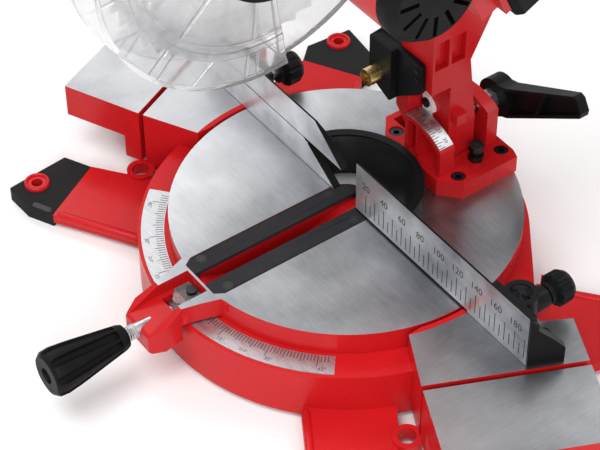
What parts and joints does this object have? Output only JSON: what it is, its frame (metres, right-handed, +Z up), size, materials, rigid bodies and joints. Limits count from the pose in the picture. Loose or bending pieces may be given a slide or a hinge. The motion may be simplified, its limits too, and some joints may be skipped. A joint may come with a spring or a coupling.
{
  "type": "cordless mitre saw",
  "caption": "Cordless mitre saw with a swinging head over a mitring turntable, swept table wings on pull-out extensions, a sliding fence, a bevel column and a clear guard.",
  "frame": {"origin": "turntable axis in the plane of the bench, at the middle of the bench bolts", "axes": "+X right along the fence, +Y to the back, +Z up"},
  "size_m": [0.5532, 0.406, 0.505],
  "materials": {
    "red_paint": "glossy red paint on die-cast aluminium, machined on top",
    "rubber": "matt black moulded rubber",
    "scale_silver": "brushed plate with printed ticks",
    "black_casting": "satin black coated die casting",
    "black_steel": "black oxide",
    "zinc_steel": "bright zinc",
    "spring_steel": "oiled spring wire",
    "blade_steel": "ground plate",
    "insert_grey": "matt dark grey plastic",
    "black_plastic": "textured black plastic",
    "red_plastic": "satin red plastic",
    "clear_plastic": "clear smoky plastic",
    "white_plastic": "white plastic",
    "brass": "turned brass"
  },
  "bodies": {
    "base": {"base_casting": "red_paint", "foot_pads": "rubber", "mitre_scales": "scale_silver", "fence_casting": "black_casting", "fence_bolts": "black_steel"},
    "turntable": {"turntable": "red_paint", "pivot_bolt": "zinc_steel", "kerf_inserts": "insert_grey", "insert_screws": "black_steel", "mitre_pointer": "clear_plastic", "pointer_screw": "black_steel", "bevel_bracket": "red_paint", "bracket_bolts": "black_steel", "bevel_pin": "zinc_steel", "bevel_scale": "scale_silver", "stop_bolt": "black_steel"},
    "mitre_lock": {"mitre_handle": "black_plastic", "lock_rod": "zinc_steel"},
    "sliding_fence": {"sliding_fence": "black_casting"},
    "fence_lock": {"fence_knob": "black_plastic", "fence_knob_stud": "zinc_steel"},
    "clamp_lock": {"clamp_knob": "black_plastic", "clamp_knob_stud": "zinc_steel"},
    "left_extension": {"left_extension": "red_paint", "left_extension_rods": "zinc_steel"},
    "right_extension": {"right_extension": "red_paint", "right_extension_rods": "zinc_steel"},
    "column": {"tilt_arm": "red_paint", "bevel_pointer": "white_plastic", "bevel_stud": "zinc_steel", "laser_housing": "black_plastic", "laser_tube": "brass", "chop_pin": "zinc_steel", "return_spring": "spring_steel"},
    "bevel_lever": {"bevel_lever": "black_plastic"},
    "head_lock": {"head_lock_pin": "black_plastic"},
    "head": {"head_casting": "red_paint", "rear_shield": "clear_plastic", "gear_case": "black_casting", "motor_housing": "red_plastic", "motor_end_cap": "black_plastic", "handle_left_shell": "black_plastic", "handle_right_shell": "black_plastic", "handle_screws": "zinc_steel", "dust_spout": "black_plastic", "guard_retainer": "black_plastic"},
    "blade": {"saw_blade": "blade_steel", "blade_flanges": "zinc_steel", "spindle": "zinc_steel", "arbor_bolt": "black_steel"},
    "lower_guard": {"lower_guard": "clear_plastic"},
    "trigger": {"trigger": "black_plastic"},
    "lock_off": {"lock_off_button": "red_plastic"},
    "spindle_lock": {"spindle_lock": "black_plastic"},
    "battery": {"battery_pack": "black_plastic"},
    "battery_latch": {"battery_latch": "red_plastic"}
  },
  "joints": [
    {"name": "mitre_swing", "type": "hinge", "parent": "base", "child": "turntable", "pos_m": [0, 0, 0.062], "axis": [0, 0, -1], "range_deg": [-47, 47]},
    {"name": "mitre_lock_turn", "type": "hinge", "parent": "turntable", "child": "mitre_lock", "pos_m": [0, -0.2, 0.045], "axis": [0, 1, 0], "range_deg": [0, 180]},
    {"name": "fence_slide", "type": "slide", "parent": "base", "child": "sliding_fence", "axis": [-1, 0, 0], "range_m": [0, 0.072]},
    {"name": "fence_lock_turn", "type": "hinge", "parent": "base", "child": "fence_lock", "pos_m": [-0.132, 0.04, 0.077], "axis": [0, 1, 0], "range_deg": [0, 180]},
    {"name": "clamp_lock_turn", "type": "hinge", "parent": "base", "child": "clamp_lock", "pos_m": [0.1665, 0.04, 0.084], "axis": [0, 1, 0], "range_deg": [0, 180]},
    {"name": "left_extension_slide", "type": "slide", "parent": "base", "child": "left_extension", "axis": [-0.9063, -0.4226, 0], "range_m": [0, 0.07]},
    {"name": "right_extension_slide", "type": "slide", "parent": "base", "child": "right_extension", "axis": [0.9063, -0.4226, 0], "range_m": [0, 0.07]},
    {"name": "bevel_tilt", "type": "hinge", "parent": "turntable", "child": "column", "pos_m": [0, 0.09, 0.062], "axis": [0, -1, 0], "range_deg": [0, 45]},
    {"name": "bevel_lever_turn", "type": "hinge", "parent": "column", "child": "bevel_lever", "pos_m": [0.007, 0.13, 0.102], "axis": [0, -1, 0], "range_deg": [0, 45]},
    {"name": "head_lock_pull", "type": "slide", "parent": "column", "child": "head_lock", "axis": [1, 0, 0], "range_m": [0, 0.008]},
    {"name": "head_chop", "type": "hinge", "parent": "column", "child": "head", "pos_m": [0, 0.095, 0.262], "axis": [1, 0, 0], "range_deg": [0, 64], "stiffness_Nm_per_rad": 6, "springref_deg": -91.67},
    {"name": "blade_spin", "type": "hinge", "parent": "head", "child": "blade", "pos_m": [0, -0.07721, 0.35046], "axis": [1, 0, 0], "continuous": true},
    {"name": "guard_swing", "type": "hinge", "parent": "head", "child": "lower_guard", "pos_m": [0, -0.07721, 0.35046], "axis": [-1, 0, 0], "range_deg": [0, 131]},
    {"name": "trigger_pull", "type": "hinge", "parent": "head", "child": "trigger", "pos_m": [0.034, 0.044, 0.44184], "axis": [-1, 0, 0], "range_deg": [0, 8], "stiffness_Nm_per_rad": 0.5, "springref_deg": -11.46},
    {"name": "lock_off_push", "type": "slide", "parent": "head", "child": "lock_off", "axis": [-1, 0, 0], "range_m": [0, 0.003], "stiffness_N_per_m": 300, "springref_m": -0.002},
    {"name": "spindle_lock_push", "type": "slide", "parent": "head", "child": "spindle_lock", "axis": [-1, 0, 0], "range_m": [0, 0.004], "stiffness_N_per_m": 300, "springref_m": -0.002},
    {"name": "battery_slide", "type": "slide", "parent": "head", "child": "battery", "axis": [0, 0.4384, -0.8988], "range_m": [0, 0.08]},
    {"name": "battery_latch_push", "type": "slide", "parent": "battery", "child": "battery_latch", "axis": [0, 0.4384, -0.8988], "range_m": [0, 0.003], "stiffness_N_per_m": 300, "springref_m": -0.003}
  ],
  "couplings": [
    {"joint": "guard_swing", "follows": "head_chop", "ratio": 2.0469}
  ]
}
